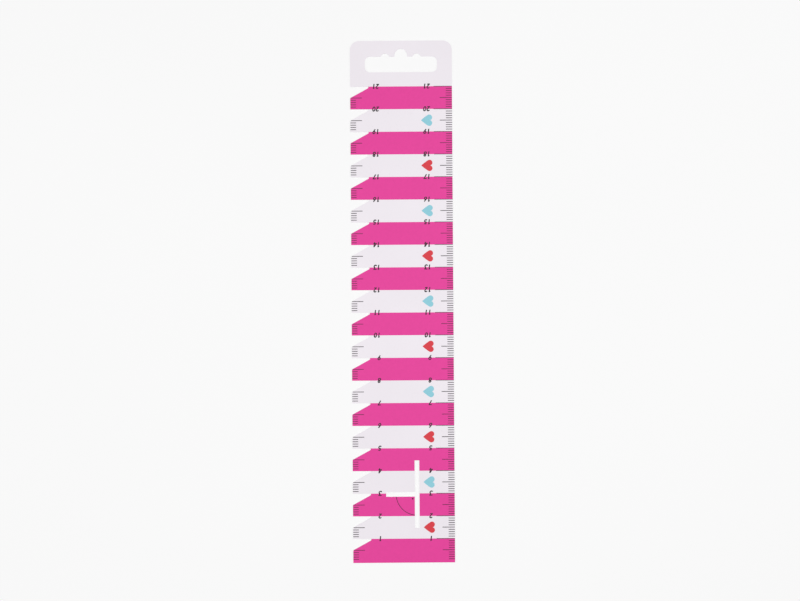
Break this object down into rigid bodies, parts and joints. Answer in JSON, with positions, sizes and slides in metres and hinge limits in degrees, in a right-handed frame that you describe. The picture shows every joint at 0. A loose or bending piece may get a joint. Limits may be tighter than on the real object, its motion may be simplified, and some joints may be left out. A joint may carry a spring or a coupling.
{
  "type": "sewing ruler",
  "caption": "Flat hand gauge for sewing: printed centimetre scale, straight measuring edge, notched marking edge, T-shaped marking slot and hanger hole.",
  "frame": {"origin": "middle of the back face, which lies on the table", "axes": "+Y along the scale from the zero end to the hanger tab, +X towards the straight measuring edge, +Z out of the printed face"},
  "size_m": [0.045, 0.2308, 0.0009],
  "materials": {
    "sheet_plastic": "satin pale lilac-white plastic sheet",
    "pink_ink": "satin printed ink",
    "red_ink": "satin printed ink",
    "blue_ink": "satin printed ink",
    "black_ink": "satin printed ink"
  },
  "bodies": {
    "root": {"ruler_blank": "sheet_plastic", "pink_band_0_to_1": "pink_ink", "pink_band_2_to_3_part_1": "pink_ink", "pink_band_2_to_3_part_2": "pink_ink", "pink_band_4_to_5": "pink_ink", "pink_band_6_to_7": "pink_ink", "pink_band_8_to_9": "pink_ink", "pink_band_10_to_11": "pink_ink", "pink_band_12_to_13": "pink_ink", "pink_band_14_to_15": "pink_ink", "pink_band_16_to_17": "pink_ink", "pink_band_18_to_19": "pink_ink", "pink_band_20_to_21": "pink_ink", "red_heart_1_to_2": "red_ink", "blue_heart_3_to_4": "blue_ink", "red_heart_5_to_6": "red_ink", "blue_heart_7_to_8": "blue_ink", "red_heart_9_to_10": "red_ink", "blue_heart_11_to_12": "blue_ink", "red_heart_13_to_14": "red_ink", "blue_heart_15_to_16": "blue_ink", "red_heart_17_to_18": "red_ink", "blue_heart_19_to_20": "blue_ink", "right_angle_arc": "black_ink", "right_angle_dot": "black_ink"}
  },
  "joints": []
}
